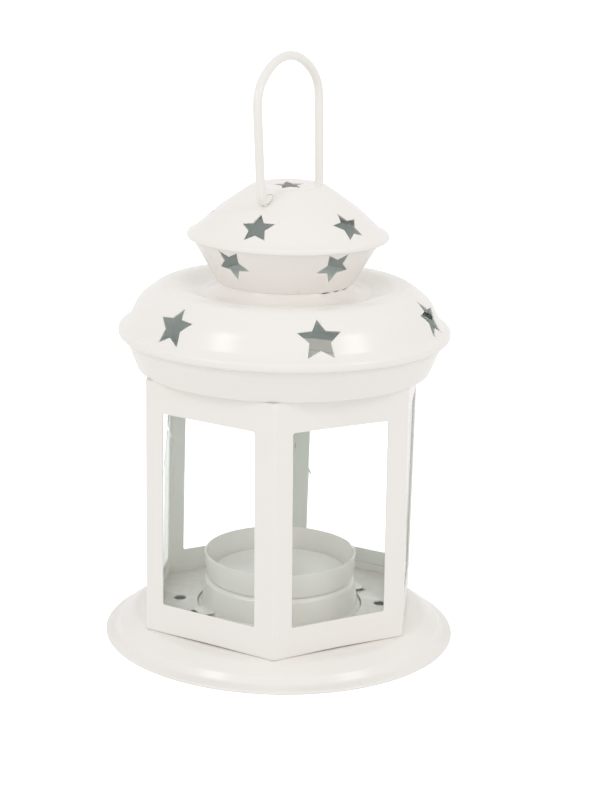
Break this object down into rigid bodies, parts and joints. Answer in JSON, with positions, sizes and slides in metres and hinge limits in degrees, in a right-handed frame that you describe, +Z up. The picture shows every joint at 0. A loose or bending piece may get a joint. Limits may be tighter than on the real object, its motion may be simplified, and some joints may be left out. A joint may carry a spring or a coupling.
{
  "type": "punched tin tealight lantern",
  "caption": "White punched tin tealight lantern: six-sided glazed cage on a round dished base, domed roof, funnel chimney and conical cap punched with stars, and a wire bail.",
  "frame": {"origin": "on the table, under the middle of the round base", "axes": "+Z up along the lantern's axis; one corner of the six-sided cage points towards -Y, the side seen in the picture"},
  "size_m": [0.096, 0.096, 0.1592],
  "materials": {
    "white_enamel": "semi-gloss baked enamel",
    "enamelled_wire": "semi-gloss baked enamel",
    "clear_glass": "clear float glass"
  },
  "bodies": {
    "base": {"base_dish": "white_enamel", "candle_cup": "white_enamel"},
    "head": {"cage_frame": "white_enamel", "floor_plate": "white_enamel", "glass_pane_1": "clear_glass", "glass_pane_2": "clear_glass", "glass_pane_3": "clear_glass", "glass_pane_4": "clear_glass", "glass_pane_5": "clear_glass", "glass_pane_6": "clear_glass", "roof_collar": "white_enamel", "roof_dome": "white_enamel", "chimney": "white_enamel", "cap": "white_enamel"},
    "bail": {"bail_handle": "enamelled_wire"}
  },
  "joints": [
    {"name": "head_lift", "type": "slide", "parent": "base", "child": "head", "axis": [0, 0, 1], "range_m": [0, 0.08]},
    {"name": "bail_swing", "type": "hinge", "parent": "head", "child": "bail", "pos_m": [0.00099, -0.00047, 0.122], "axis": [-0.4321, -0.9018, 0], "range_deg": [-95, 88]}
  ]
}
